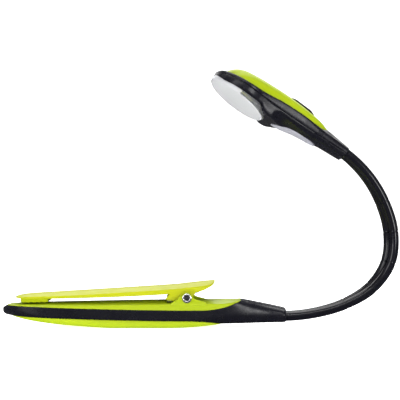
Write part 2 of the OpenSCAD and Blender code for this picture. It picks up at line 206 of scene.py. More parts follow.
def lathe(name, profile, place, steps=64):
    """A solid turned about local Z; the profile is a closed list of (radius, height)."""
    points = [(x, y, z) for r, z in profile for x, y in circle(steps, r)]
    return make_object(name, points, skin(len(profile), steps, closed=True), place)


def block(name, low, high, place=None):
    points = [(x, y, z) for x in (low[0], high[0]) for y in (low[1], high[1]) for z in (low[2], high[2])]
    faces = [(0, 1, 3, 2), (4, 6, 7, 5), (0, 4, 5, 1), (2, 3, 7, 6), (0, 2, 6, 4), (1, 5, 7, 3)]
    return make_object(name, points, faces, place)


def prism(name, side_view, y0, y1, round_edge):
    """A plate whose side view is the outline given, between two values of y."""
    count = len(side_view)
    points = [(x, y, z) for y in (y0, y1) for x, z in side_view]
    faces = [tuple(range(count)), tuple(reversed(range(count, 2 * count)))]
    for i in range(count):
        j = (i + 1) % count
        faces.append((i, i + count, j + count, j))
    obj = make_object(name, points, faces)
    bevel(obj, round_edge, 3)
    return obj


def apply_modifiers(obj):
    graph = bpy.context.evaluated_depsgraph_get()
    mesh = bpy.data.meshes.new_from_object(obj.evaluated_get(graph))
    obj.modifiers.clear()
    old = obj.data
    obj.data = mesh
    bpy.data.meshes.remove(old)
    finish_mesh(mesh, SHARP)


def bevel(obj, width, segments=2):
    step = obj.modifiers.new("bevel", "BEVEL")
    step.width = width * MM
    step.segments = segments
    step.limit_method = "ANGLE"
    step.angle_limit = SHARP
    apply_modifiers(obj)


def combine(obj, others, operation):
    """Joins the others to obj, or cuts them out of it, and removes them."""
    for other in others:
        step = obj.modifiers.new(operation.lower(), "BOOLEAN")
        step.operation = operation
        step.solver = "EXACT"
        step.object = other
    bpy.context.view_layer.update()
    apply_modifiers(obj)
    for other in others:
        mesh = other.data
        bpy.data.objects.remove(other)
        bpy.data.meshes.remove(mesh)


def extrusion(name, section, low, high, place):
    """A solid with one section all the way, between two heights."""
    return loft(name, [[(x, y, z) for x, y in section] for z in (low, high)], place)


def cylinder(name, radius, low, high, place, steps=64):
    return extrusion(name, circle(steps, radius), low, high, place)


WALL_ROWS = 9
FACE_COLUMNS = 12
EDGE_STEPS = 4


def slab_ring(x, low, high, width_at, edge, crown=0.0, belly=0.0):
    """Cross-section of a shell at x: walls of the given half width with small rounded edges."""
    edge = min(edge, 0.4 * (high - low))
    wall = []
    for i in range(EDGE_STEPS + 1):
        a = math.radians(-90 + 90 * i / EDGE_STEPS)
        wall.append((width_at(x, low + edge) - edge * (1 - math.cos(a)), low + edge * (1 + math.sin(a))))
    for z in stations(low + edge, high - edge, WALL_ROWS, near_both)[1:-1]:
        wall.append((width_at(x, z), z))
    for i in range(EDGE_STEPS + 1):
        a = math.radians(90 * i / EDGE_STEPS)
        wall.append((width_at(x, high - edge) - edge * (1 - math.cos(a)), high - edge * (1 - math.sin(a))))
    wall = [(max(0.02, y), z) for y, z in wall]
    top = wall[-1][0]
    base = wall[0][0]
    across = [1 - 2 * i / FACE_COLUMNS for i in range(1, FACE_COLUMNS)]
    ring = [(x, y, z) for y, z in wall]
    ring += [(x, top * t, high + crown * (1 - t * t)) for t in across]
    ring += [(x, -y, z) for y, z in reversed(wall)]
    ring += [(x, -base * t, low - belly * (1 - t * t)) for t in across]
    return ring


# ---------------------------------------------------------------- materials
# Noise scales are per metre, and bump distances in millimetres.

def new_material(name):
    material = bpy.data.materials.new(name)
    material.use_nodes = True
    tree = material.node_tree
    shader = tree.nodes["Principled BSDF"]
    return material, tree, shader


def fill(node, values):
    for name, value in values.items():
        node.inputs[name].default_value = value


def noise_node(tree, scale, detail=3.0, rough=0.5, stretch=None):
    coords = tree.nodes.new("ShaderNodeTexCoord")
    source = coords.outputs["Object"]
    if stretch:
        mapping = tree.nodes.new("ShaderNodeMapping")
        mapping.inputs["Scale"].default_value = stretch
        tree.links.new(source, mapping.inputs["Vector"])
        source = mapping.outputs["Vector"]
    noise = tree.nodes.new("ShaderNodeTexNoise")
    fill(noise, {"Scale": scale, "Detail": detail, "Roughness": rough})
    tree.links.new(source, noise.inputs["Vector"])
    return noise.outputs["Fac"]


def ranged(tree, value, low, high, start=0.3, stop=0.7):
    node = tree.nodes.new("ShaderNodeMapRange")
    fill(node, {"From Min": start, "From Max": stop, "To Min": low, "To Max": high})
    tree.links.new(value, node.inputs["Value"])
    return node.outputs["Result"]


def mixed(tree, factor, a, b):
    """Mixes two colours, each of them a socket or three numbers."""
    node = tree.nodes.new("ShaderNodeMix")
    node.data_type = "RGBA"
    tree.links.new(factor, node.inputs[0])
    for colour, entry in ((a, node.inputs[6]), (b, node.inputs[7])):
        if isinstance(colour, tuple):
            entry.default_value = (*colour, 1)
        else:
            tree.links.new(colour, entry)
    return node.outputs[2]


def bumped(tree, shader, layers):
    """Stacks bump layers, each (height socket, strength, distance in mm)."""
    normal = None
    for height, strength, distance in layers:
        bump = tree.nodes.new("ShaderNodeBump")
        fill(bump, {"Strength": strength, "Distance": distance * MM})
        tree.links.new(height, bump.inputs["Height"])
        if normal:
            tree.links.new(normal, bump.inputs["Normal"])
        normal = bump.outputs["Normal"]
    tree.links.new(normal, shader.inputs["Normal"])


def edge_light(tree, low, high):
    """0 on flats and 1 on worn outer edges."""
    geometry = tree.nodes.new("ShaderNodeNewGeometry")
    return ranged(tree, geometry.outputs["Pointiness"], 0.0, 1.0, low, high)


def glancing_gloss(tree, full):
    """Specular level that fades at glancing angles, as it does on a finely textured moulding."""
    weight = tree.nodes.new("ShaderNodeLayerWeight")
    return ranged(tree, weight.outputs["Facing"], full, 0.4 * full, 0.5, 0.9)


def moulded(name, colour, shade, rough, grain_scale, grain, worn=None, subsurface=0.0, shine=0.5,
            textured=False):
    """Injection-moulded plastic: slight colour drift, uneven gloss, fine surface grain and rubbed edges."""
    material, tree, shader = new_material(name)
    base = mixed(tree, ranged(tree, noise_node(tree, 55, 2), 0.0, 1.0), colour, shade)
    if worn:
        wear = tree.nodes.new("ShaderNodeMath")
        wear.operation = "MULTIPLY"
        tree.links.new(edge_light(tree, 0.53, 0.62), wear.inputs[0])
        tree.links.new(ranged(tree, noise_node(tree, 900, 4), 0.0, 0.6, 0.45, 0.7), wear.inputs[1])
        base = mixed(tree, wear.outputs[0], base, worn)
    tree.links.new(base, shader.inputs["Base Color"])
    gloss = ranged(tree, noise_node(tree, 240, 4, 0.6), rough * 0.8, rough * 1.25)
    tree.links.new(gloss, shader.inputs["Roughness"])
    if textured:
        tree.links.new(glancing_gloss(tree, shine), shader.inputs["Specular IOR Level"])
    else:
        fill(shader, {"Specular IOR Level": shine})
    if subsurface:
        fill(shader, {"Subsurface Weight": subsurface, "Subsurface Radius": (1.0, 1.0, 0.15),
                      "Subsurface Scale": 0.8 * MM})
    bumped(tree, shader, [(noise_node(tree, 90, 1), 0.08, 0.05),
                          (noise_node(tree, grain_scale, 2, 0.6), grain, 0.02)])
    return material


def metal(name, colour, shade, rough, stretch, scratch=0.3, metallic=1.0):
    """Bare metal with fine lay marks along one axis and uneven polish."""
    material, tree, shader = new_material(name)
    drift = ranged(tree, noise_node(tree, 400, 3), 0.0, 1.0)
    tree.links.new(mixed(tree, drift, colour, shade), shader.inputs["Base Color"])
    fill(shader, {"Metallic": metallic})
    marks = noise_node(tree, 1.0, 3, 0.6, stretch)
    tree.links.new(ranged(tree, marks, rough * 0.7, rough * 1.4), shader.inputs["Roughness"])
    bumped(tree, shader, [(marks, scratch, 0.01)])
    return material


def clear_plastic(name, clear):
    """Moulded lens plastic, clear or part milky, with faint flow marks."""
    material, tree, shader = new_material(name)
    fill(shader, {"Base Color": (0.95, 0.96, 1.0, 1), "Transmission Weight": clear, "IOR": 1.49})
    tree.links.new(ranged(tree, noise_node(tree, 300, 3), 0.05, 0.16), shader.inputs["Roughness"])
    bumped(tree, shader, [(noise_node(tree, 130, 2), 0.2, 0.05)])
    return material


def phosphor(name):
    """Yellow light chip with a speckled phosphor layer."""
    material, tree, shader = new_material(name)
    speckle = ranged(tree, noise_node(tree, 3000, 3), 0.0, 1.0)
    colour = mixed(tree, speckle, (0.78, 0.70, 0.42), (0.88, 0.82, 0.58))
    tree.links.new(colour, shader.inputs["Base Color"])
    tree.links.new(ranged(tree, speckle, 0.25, 0.45, 0.0, 1.0), shader.inputs["Roughness"])
    bumped(tree, shader, [(speckle, 0.2, 0.01)])
    return material


# colour, second colour, roughness, grain scale and grain strength
LIME = moulded("lime_shell", (0.43, 0.54, 0.008), (0.39, 0.50, 0.006), 0.34, 5200, 0.10,
               worn=(0.54, 0.65, 0.07), subsurface=0.12, shine=0.25)
LEVER = moulded("lime_lever", (0.55, 0.58, 0.006), (0.51, 0.55, 0.004), 0.36, 5200, 0.10,
                worn=(0.65, 0.69, 0.07), subsurface=0.12, shine=0.2)
BLACK = moulded("black_satin", (0.004, 0.004, 0.0085), (0.006, 0.006, 0.011), 0.26, 3600, 0.12,
                worn=(0.014, 0.014, 0.019), shine=0.45, textured=True)
BUTTON = moulded("black_button", (0.006, 0.006, 0.008), (0.009, 0.009, 0.011), 0.42, 4200, 0.4,
                 worn=(0.020, 0.020, 0.023), shine=0.3, textured=True)
SLEEVE = moulded("black_sleeve", (0.0035, 0.0035, 0.0065), (0.005, 0.005, 0.009), 0.13, 2600, 0.08, shine=0.6,
                 textured=True)
PAD = moulded("olive_pad", (0.56, 0.64, 0.008), (0.50, 0.58, 0.006), 0.75, 2600, 0.8, shine=0.15)
WHITE = moulded("white_reflector", (0.82, 0.83, 0.85), (0.78, 0.79, 0.82), 0.3, 3000, 0.15)
BOARD = moulded("white_board", (0.78, 0.79, 0.78), (0.70, 0.72, 0.70), 0.45, 2500, 0.2)
SWITCH = moulded("switch_grey", (0.05, 0.05, 0.06), (0.035, 0.035, 0.04), 0.5, 3000, 0.3)
WIRE = moulded("wire_red", (0.42, 0.02, 0.02), (0.34, 0.015, 0.015), 0.35, 2500, 0.2)
CHROME = metal("pin_steel", (0.86, 0.86, 0.88), (0.78, 0.78, 0.80), 0.22, (9000, 900, 9000), 0.1)
STEEL = metal("screw_steel", (0.56, 0.56, 0.58), (0.46, 0.46, 0.48), 0.3, (6000, 6000, 700))
CELL = metal("cell_steel", (0.66, 0.66, 0.68), (0.58, 0.58, 0.60), 0.26, (500, 7000, 7000))
BRASS = metal("contact_brass", (0.66, 0.50, 0.24), (0.56, 0.41, 0.18), 0.28, (600, 8000, 8000))
CORE = metal("core_steel", (0.34, 0.34, 0.36), (0.26, 0.26, 0.28), 0.4, (5000, 5000, 5000))
SILVER = metal("silver_trim", (0.46, 0.46, 0.52), (0.38, 0.38, 0.44), 0.35, (1500, 1500, 1500), 0.4, 0.3)
# painted shade: a dark metal for the disc set inside the rivet's hollow head, standing in for the shade in
# that hole
PIN_HOLE_SHADE = metal("pin_hole_painted_shade", (0.10, 0.10, 0.11), (0.05, 0.05, 0.055), 0.5, (5000, 5000, 5000))
CLEAR = clear_plastic("clear_lens", 0.5)
FLUTED = clear_plastic("clear_flutes", 0.93)
PHOSPHOR = phosphor("phosphor")


def dress(obj, material):
    obj.data.materials.clear()
    obj.data.materials.append(material)


def place_piece(obj, body, material, slot, *nodes):
    dress(obj, material)
    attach(obj, body)
    if nodes:
        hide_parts(*nodes)


# ---------------------------------------------------------------- case

CASE_TIP = box_mm("case_frame")[0].x
CONE_END = box_mm("case_frame")[1].x
CASE_HALF = box_mm("case_frame")[1].y
PIN = Vector(JOINTS["clip_hinge"]["pos_m"]) / MM
NOSE = 2.9                  # length of the frame's rounded tip
NOSE_Z = 7.2
CONE_ROUND = 0.9
CELLS = ("coin_cell_1", "coin_cell_2")
CELL_HOLE = 10.2            # radius of the holes for the cells
SPLIT_END = (38.6, 1.7)     # where the battery door ends under the cone
TONGUE_END = (46.4, 11.3)   # where the top shell ends on the cone

# side view of the case: the frame's two edges, the door's underside and the top shell's crest
frame_low = outline(((CASE_TIP + 0.8, 5.3), (-14, 3.4), (22, 3.1)), ((22, 3.1), (32, 3.1), SPLIT_END),
                    (SPLIT_END, (46, 1.8)), ((46, 1.8), (CONE_END, 2.0)))
frame_high = outline(((CASE_TIP + 0.8, 9.3), (-10, 7.6), (22, 7.35)), ((22, 7.35), (30, 7.3)),
                     ((30, 7.3), (39, 7.35), TONGUE_END),
                     (TONGUE_END, (56, 9.8), (CONE_END, 7.6)))
door_low = outline(((CASE_TIP + 3.5, 5.2), (-38, 1.5), (-8, 0)), ((-12, 0), (16, 0)),
                   ((16, 0), (28, 0), SPLIT_END), (SPLIT_END, (46, 1.8)), ((46, 1.8), (CONE_END, 2.0)))
shell_high = outline(((CASE_TIP + 2, 9.3), (-47, 10.0), (-30, 10.4)), ((-30, 10.4), (4, 11.3), (30, 11.4)),
                     ((30, 11.4), (42, 11.7), TONGUE_END), (TONGUE_END, (56, 9.8), (CONE_END, 7.6)))
taper = outline(((10, CASE_HALF), (38, CASE_HALF), (52, 8.2)), ((52, 8.2), (58, 6.5), (CONE_END, 6.0)))


def case_half(x):
    return taper(x) * swell(math.sqrt(max(0.0, x - CASE_TIP) / 24), root=1)


def case_width(x, z):
    """Half width of the whole case at x and height z, with its long edges rounded."""
    low = door_low(x)
    high = shell_high(x)
    cone = blend_between(x, 38, 60)
    top_round = lerp(1.2, 2.7, cone)
    low_round = lerp(2.9, 2.6, cone)
    drop = edge_drop(top_round, z - (high - top_round))
    drop += lerp(1.7, 1.3, cone) * edge_drop(low_round, low + low_round - z)
    drop += 0.9 * cone * ((z - lerp(low, high, 0.45)) / (0.5 * (high - low))) ** 2
    return max(0.02, case_half(x) - drop)


def nosed(x, low, high):
    """Draws the frame's two edges together over the rounded nose."""
    k = swell((x - CASE_TIP) / NOSE)
    return lerp(NOSE_Z, low, k), lerp(NOSE_Z, high, k)


def cell_holes(low, high):
    for node in CELLS:
        middle = centre_mm(node)
        yield cylinder("cut", CELL_HOLE, low, high, Matrix.Translation((middle.x, middle.y, 0)))


def case_frame():
    rings = []
    for x in stations(CASE_TIP + 0.02, -20, 34, near_start) + stations(-18, 36, 18) \
            + stations(37, CONE_END - CONE_ROUND, 30):
        low, high = nosed(x, frame_low(x), frame_high(x))
        rings.append(slab_ring(x, low, high, case_width, 0.22, 0.25 * blend_between(x, 46, 47)))
    for reach, fall in quarter(5):
        x = CONE_END - CONE_ROUND * (1 - reach)
        inset = CONE_ROUND * fall
        rings.append(slab_ring(x, frame_low(x) + inset, frame_high(x) - inset,
                               lambda u, z: max(0.1, case_width(u, z) - inset), 0.22, 0.25))
    obj = loft("case_frame_shell", rings)
    left, right = (centre_mm(node).x for node in CELLS)
    channel = block("cut", (left, -3, -1), (right, 3, 6.2))
    combine(obj, [*cell_holes(-1, box_mm("contact_positive")[1].z), channel], "DIFFERENCE")
    place_piece(obj, "case", BLACK, "black_plastic", "case_frame")


EAR_IN = 10.9
EAR_OUT = CASE_HALF - 0.1


def ear_outline():
    px, pz = PIN.x, PIN.z
    points = [(px - 6.6, 9.6), (px - 6.4, 10.6), (px - 5.4, 11.1)]
    points += [(lerp(px - 5.4, px - 2.0, t), lerp(11.1, pz + 1.15, smooth(t))) for t in (0.35, 0.7, 1.0)]
    points += [(px + 2.3 * math.cos(math.radians(a)), pz + 2.3 * math.sin(math.radians(a)))
               for a in range(135, 9, -15)]
    points += [(px + 2.9, pz - 0.05), (px + 3.9, pz - 0.55), (px + 5.4, pz - 1.0), (px + 7.2, 11.1),
               (px + 7.9, 10.6), (px + 8.0, 9.6)]
    return points


SHELL_ARCH = 1.3


def shell_width(x, z):
    """The case's half width, measured with the arch of the shell's top added back."""
    return case_width(x, z + 0.7 * blend_between(z, frame_high(x), shell_high(x) - SHELL_ARCH))


def top_shell():
    rings = []
    for x in stations(CASE_TIP + 2.6, -22, 26, near_start) + stations(-20, 30, 20) \
            + stations(31, TONGUE_END[0] - 0.15, 22, near_stop):
        low = frame_high(x) + 0.1
        high = max(shell_high(x), low + 0.06)
        arch = min(SHELL_ARCH, 0.45 * (high - low))
        rings.append(slab_ring(x, low, high - arch, shell_width, 0.2, arch))
    obj = loft("top_shell_cover", rings)
    px = PIN.x
    combine(obj, [block("cut", (px - 8.5, -EAR_IN, 10.1), (px + 4, EAR_IN, 14)),
                  block("cut", (px, -3, 10.1), (px + 8, 3, 14))], "DIFFERENCE")
    combine(obj, [prism("ear", ear_outline(), *sorted((side * EAR_IN, side * EAR_OUT)), 0.25)
                  for side in (1, -1)], "UNION")
    place_piece(obj, "case", LIME, "lime_plastic", "top_shell")


def battery_door():
    rings = []
    for x in stations(CASE_TIP + 4.4, -22, 26, near_start) + stations(-20, 20, 16) \
            + stations(21, SPLIT_END[0] - 0.3, 20, near_stop):
        high = frame_low(x) - 0.1
        low = min(door_low(x), high - 0.06)
        rings.append(slab_ring(x, low, high, case_width, 0.2))
    obj = loft("battery_door_shell", rings)
    lo, hi = box_mm("contact_link")
    slot = block("cut", (lo.x - 0.1, lo.y - 0.1, lo.z), (hi.x + 0.1, hi.y + 0.1, 9))
    combine(obj, [*cell_holes(box_mm(CELLS[0])[0].z - 0.1, 9), slot], "DIFFERENCE")
    place_piece(obj, "door", LIME, "lime_plastic", "battery_door")


# ---------------------------------------------------------------- clip

LEVER_LO, LEVER_HI = box_mm("clip_lever")
LEVER_HALF = LEVER_HI.y
lever_top = outline(((LEVER_LO.x, 12.6), (-46.5, 13.6), (-40, 14.1)), ((-40, 14.1), (6, 16.9), (20, 17.9)),
                    ((20, 17.9), (28, 18.9), (LEVER_HI.x, 19.6)))
lever_under = outline(((LEVER_LO.x, 12.3), (-46, 11.9), (-38, 12.0)),
                      ((-38, 12.0), (-5, 12.4), (PIN.x, 14.5)), ((PIN.x, 14.5), (29, 14.6), (32, 16.1)),
                      ((32, 16.1), (35.2, 17.5), (LEVER_HI.x, 18.8)))
LEVER_ARCH = 1.6
LEVER_EDGE = 1.3


def lever_half(x):
    ends = swell((x - LEVER_LO.x) / 11, 2.4, 1 / 2.4) * swell((LEVER_HI.x - x) / 9, 2.4, 1 / 2.4)
    return lerp(LEVER_HALF - 1.0, LEVER_HALF, blend_between(x, -46, 0)) * ends


def lever_width(x, z):
    return max(0.05, lever_half(x) - edge_drop(LEVER_EDGE, z - (lever_top(x) - LEVER_EDGE)))


def lever_skirt():
    px, pz = PIN.x, PIN.z
    points = [(px + 4.0, 15.6), (px + 3.4, 14.2), (px + 2.3, pz + 0.2)]
    points += [(px + 2 * math.cos(math.radians(a)), pz + 2 * math.sin(math.radians(a)))
               for a in range(-15, -106, -15)]
    points += [(px - 3.2, 11.0), (px - 6.0, 11.3), (px - 8.0, 11.55), (px - 8.8, 12.0), (px - 8.5, 12.6),
               (px - 7.2, 14.0), (px - 6.6, 15.2)]
    return points


def clip_lever():
    rings = []
    for x in stations(LEVER_LO.x + 0.02, -30, 22, near_start) + stations(-28, 22, 26) \
            + stations(23, LEVER_HI.x - 0.02, 24, near_stop):
        high = lever_top(x)
        low = min(lever_under(x), high - 0.25)
        arch = min(LEVER_ARCH, 0.55 * (high - low))
        rings.append(slab_ring(x, low, high - arch, lever_width, 0.5, arch))
    obj = loft("clip_lever_body", rings)
    hollow = [slab_ring(x, lever_under(x) - 2, lever_top(x) - 2.9, lambda u, z: lever_half(u) - 1.7, 0.5)
              for x in stations(-30, 27.5, 24)]
    combine(obj, [loft("cut", hollow)], "DIFFERENCE")
    inner = LEVER_HALF - 2
    combine(obj, [prism("skirt", lever_skirt(), *sorted((side * inner, side * LEVER_HALF)), 0.2)
                  for side in (1, -1)], "UNION")
    place_piece(obj, "clip", LEVER, "lever_plastic", "clip_lever")


def clip_pad():
    lo, hi = box_mm("clip_pad")
    rings = []
    ribs = 5
    for t in stations(0, 1, ribs * 8):
        x = lerp(lo.x, hi.x, t)
        groove = 0.22 * (0.5 + 0.5 * math.cos(2 * math.pi * ribs * t))
        rings.append(slab_ring(x, lo.z + 0.3 * t + groove, lever_under(x) + 0.15,
                               lambda u, z: min(hi.y, lever_half(u) - 0.9), 0.3))
    place_piece(loft("clip_pad_grip", rings), "clip", PAD, "pad_rubber", "clip_pad")


def clip_pin():
    across = Matrix.Translation(PIN) @ Matrix.Rotation(math.radians(-90), 4, "X")
    lo, hi = box_mm("clip_pin")
    reach = hi.y
    head_r = (hi.z - lo.z) / 2
    head = [(1.08, reach - 0.6), (1.12, reach - 0.12), (1.3, reach), (head_r - 0.4, reach),
            (head_r - 0.12, reach - 0.14), (head_r, reach - 0.42), (head_r - 0.02, reach - 0.85),
            (1.0, reach - 0.88)]
    profile = [(0.02, reach - 0.6)] + head + [(r, -z) for r, z in reversed(head)] + [(0.02, -(reach - 0.6))]
    obj = lathe("clip_pin_rivet", profile, across)
    place_piece(obj, "clip", CHROME, "pin_steel", "clip_pin")
    # painted shade: a dark disc set deep in the rivet's hollow head stands in for the shade inside the hole
    core = [(0.02, reach - 0.3), (0.45, reach - 0.32), (0.8, reach - 0.42), (1.05, reach - 0.58)]
    profile = core + [(r, -z) for r, z in reversed(core)]
    obj = lathe("clip_pin_hole_shade", profile, across)
    place_piece(obj, "clip", PIN_HOLE_SHADE, "pin_steel")


def tube_along(name, path, radius):
    rings = []
    side = None
    for i, p in enumerate(path):
        ahead = path[min(i + 1, len(path) - 1)] - path[max(i - 1, 0)]
        ahead.normalize()
        if side is None:
            side = ahead.orthogonal().normalized()
        side = (side - ahead * side.dot(ahead)).normalized()
        up = ahead.cross(side)
        rings.append([tuple(p + side * x + up * y) for x, y in circle(12, radius)])
    return loft(name, rings)


def clip_spring():
    radius = 1.45
    wire = 0.32
    turns = 5.5
    pitch = 0.68
    per_turn = 24
    coil = []
    for i in range(int(turns * per_turn) + 1):
        a = 2 * math.pi * i / per_turn - math.pi / 2
        along = pitch * (i / per_turn - turns / 2)
        coil.append(PIN + Vector((radius * math.cos(a), along, radius * math.sin(a))))
    lower = [coil[0] + Vector((d, 0, 0)) for d in (6.8, 4.5, 2.2)]
    obj = tube_along("clip_spring_coil", lower + coil, wire)
    place_piece(obj, "case", STEEL, "screw_steel", "clip_spring")
    leg = [coil[-1] + Vector((d, 0, 0.035 * d * d / 2)) for d in (-0.1, 1, 2, 3.5, 5)]
    place_piece(tube_along("clip_spring_leg", leg, wire), "clip", STEEL, "screw_steel")


# ---------------------------------------------------------------- neck

TUBE_R = 1.93
CORE_R = 0.7
SECTION = 12.8              # length of one section of the neck
NECK_RINGS = 11
NECK_ROLLS = (3, 5, 10, 21, 33, 36, 28, 20, 14)   # roll of the pair of tubes at each joint, in degrees


KNUCKLE_R = 0.95 * TUBE_R   # clear of the neighbour's tube at any bend
KNUCKLE_HALF = 1.2
KNUCKLE_RINGS = 9
KNUCKLE_SIDES = 20
NECK_CUT = 0.033            # share of a length left open at each side of a joint, for the bend


def neck_joints():
    """The nine places where the neck's sections meet: its root, seven joints and its end."""
    names = ("neck_twist_low", "neck_bend_low", "neck_bend_low_2", "neck_bend_high", "neck_bend_high_2",
             "neck_bend_high_3", "neck_twist_high")
    inner = [Vector(JOINTS[n]["pos_m"]) / MM for n in names]
    start = Vector((CONE_END + 0.2, 0, centre_mm("neck_root_ferrule").z + 0.1))
    axis_low = Vector(JOINTS["neck_twist_low"]["axis"])
    axis_high = Vector(JOINTS["neck_twist_high"]["axis"])
    length = (inner[1] - inner[0]).length
    # the last section bends as much again past the last joint
    end_turn = math.radians(12.5)
    half = Matrix.Rotation(-end_turn / 2, 3, "Y")
    end = inner[-1] + (half @ axis_high) * length
    turned = Matrix.Rotation(-end_turn, 3, "Y") @ axis_high
    root_dir = (Matrix.Rotation(math.radians(9.5), 3, "Y") @ axis_low).normalized()
    return [start] + inner + [end], root_dir, turned


NECK, ROOT_DIR, END_DIR = neck_joints()


TANGENTS = [ROOT_DIR, *((b - a).normalized() for a, b in zip(NECK, NECK[2:])), END_DIR]


def neck_at(s):
    """The neck at s sections from its root: point, direction, and across it the direction along the pair of
    tubes and the one square to that."""
    last = len(NECK) - 1
    if 0 < s < last:
        k = int(s)
        t = s - k
        a, b = NECK[k], NECK[k + 1]
        span = (b - a).length
        ta, tb = TANGENTS[k] * span, TANGENTS[k + 1] * span
        point = a * (2 * t ** 3 - 3 * t ** 2 + 1) + ta * (t ** 3 - 2 * t ** 2 + t) \
            + b * (-2 * t ** 3 + 3 * t ** 2) + tb * (t ** 3 - t ** 2)
        ahead = a * (6 * t * t - 6 * t) + ta * (3 * t * t - 4 * t + 1) + b * (6 * t - 6 * t * t) \
            + tb * (3 * t * t - 2 * t)
        ahead.normalize()
        roll = lerp(NECK_ROLLS[k], NECK_ROLLS[k + 1], t)
    else:
        end, beyond = (0, s) if s <= 0 else (-1, s - last)
        ahead, roll = TANGENTS[end], NECK_ROLLS[end]
        point = NECK[end] + ahead * (beyond * SECTION)
    across = Vector((0, 1, 0))
    inward = Vector((-ahead.z, 0, ahead.x))
    c, s = math.cos(math.radians(roll)), math.sin(math.radians(roll))
    return point, ahead, across * c + inward * s, inward * c - across * s


def twin_profile():
    """Two tubes side by side with a thin web between them: points and outward normals."""
    points = []
    for side in (1, -1):
        for i in range(21):
            a = math.radians(lerp(-132, 132, i / 20))
            c, s = math.cos(a), math.sin(a)
            points.append(((side * (TUBE_R + TUBE_R * c), side * TUBE_R * s), (side * c, side * s)))
        points.append(((0.0, side * 1.2), (0.0, float(side))))
    return points


def round_profile(radius, offset):
    return [((offset + radius * x, radius * y), (x, y)) for x, y in circle(12)]


def knuckle(place, first):
    """Round bands inside both tubes at a joint, which fill the bend: points, normals and faces."""
    point, ahead, wide, thick = neck_at(place)
    points, normals, faces = [], [], []
    for side in (1, -1):
        faces += skin(KNUCKLE_RINGS, KNUCKLE_SIDES, first + len(points))
        for along in stations(-KNUCKLE_HALF, KNUCKLE_HALF, KNUCKLE_RINGS - 1):
            tilt = math.asin(along / KNUCKLE_R)
            for x, y in circle(KNUCKLE_SIDES):
                n = (wide * x + thick * y) * math.cos(tilt) + ahead * math.sin(tilt)
                points.append(tuple((point + wide * side * TUBE_R + n * KNUCKLE_R) * MM))
                normals.append(n)
    return points, normals, faces


def neck_piece(name, start, stop, profile, knuckles=()):
    """A length of the neck from one place to another, with normals that match its neighbours."""
    points, normals = [], []
    for place in stations(start, stop, NECK_RINGS - 1):
        point, _, wide, thick = neck_at(place)
        points += [tuple((point + wide * p[0] + thick * p[1]) * MM) for p, n in profile]
        normals += [wide * n[0] + thick * n[1] for p, n in profile]
    faces = skin(NECK_RINGS, len(profile))
    for place in knuckles:
        more_points, more_normals, more_faces = knuckle(place, len(points))
        points += more_points
        normals += more_normals
        faces += more_faces
    mesh = bpy.data.meshes.new(name)
    mesh.from_pydata(points, [], faces)
    mesh.shade_smooth()
    probe = mesh.polygons[0]
    if probe.normal.dot(normals[probe.vertices[0]]) < 0:
        mesh.flip_normals()
    mesh.normals_split_custom_set_from_vertices([n.normalized() for n in normals])
    return add(name, mesh)


def neck():
    """Lengths that ride one body, and at the two twists lengths that are attached to no body. Blends at the
    bends tear when twist and bends act together, so lengths stop short of those joints and knuckles fill the
    gaps."""
    # body or pair of bodies, from, to, number of the CAD node it stands for, joints that it fills
    lengths = [("case", -0.12, 0.5, 1, ()), (("case", "neck_2"), 0.5, 1.5, None, ()),
               ("neck_2", 1.5, 2 - NECK_CUT, 2, (2,))]
    lengths += [(f"neck_{k}", k - 1 + NECK_CUT, k - NECK_CUT, k, (k,)) for k in range(3, 7)]
    lengths += [("neck_7", 6 + NECK_CUT, 6.5, 7, ()), (("neck_7", "head"), 6.5, 7.5, None, ()),
                ("head", 7.5, 8.12, 8, ())]
    for k, (body, start, stop, number, knuckles) in enumerate(lengths):
        sleeve = neck_piece(f"neck_tube_{k}", start, stop, twin_profile(), knuckles)
        wires = neck_piece(f"neck_wire_{k}", start, stop, round_profile(CORE_R, TUBE_R))
        for obj, material, slot, node in ((sleeve, SLEEVE, "neck_rubber", "neck_sleeve_"),
                                          (wires, CORE, "core_steel", "neck_core_")):
            dress(obj, material)
            if isinstance(body, str):
                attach(obj, body)
            else:
                a, b = (neck_at(s)[0] * MM for s in (start, stop))
                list(body)
                tuple(a)
                tuple(b)
                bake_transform(obj)
            if number:
                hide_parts(f"{node}{number}")


# ---------------------------------------------------------------- head

HEAD_R = 14.4
HEAD_LEN = 65.0
PARTING = -0.4              # height at which the two shells meet
WALL_EDGE = 0.16
NORMAL = -Vector(JOINTS["power_press"]["axis"])
HEAD_TURN = Matrix.Rotation(math.atan2(NORMAL.x, NORMAL.z), 4, "Y") \
    @ Matrix.Rotation(-math.asin(NORMAL.y), 4, "X")
# the lens and its board lie tilted in the head, deeper towards the neck
LENS_TURN = Matrix.Translation((HEAD_R + 0.2, 0, -1.2)) @ Matrix.Rotation(math.radians(5.5), 4, "Y")
BOARD_MID = -0.425
TIP = centre_mm("led_board") - HEAD_TURN.to_3x3() @ (LENS_TURN @ Vector((0, 0, BOARD_MID)))
HEAD = Matrix.Translation(TIP) @ HEAD_TURN
LENS = HEAD @ LENS_TURN
BUTTON_PLACE = HEAD @ Matrix.Translation((39.0, 0, 0))

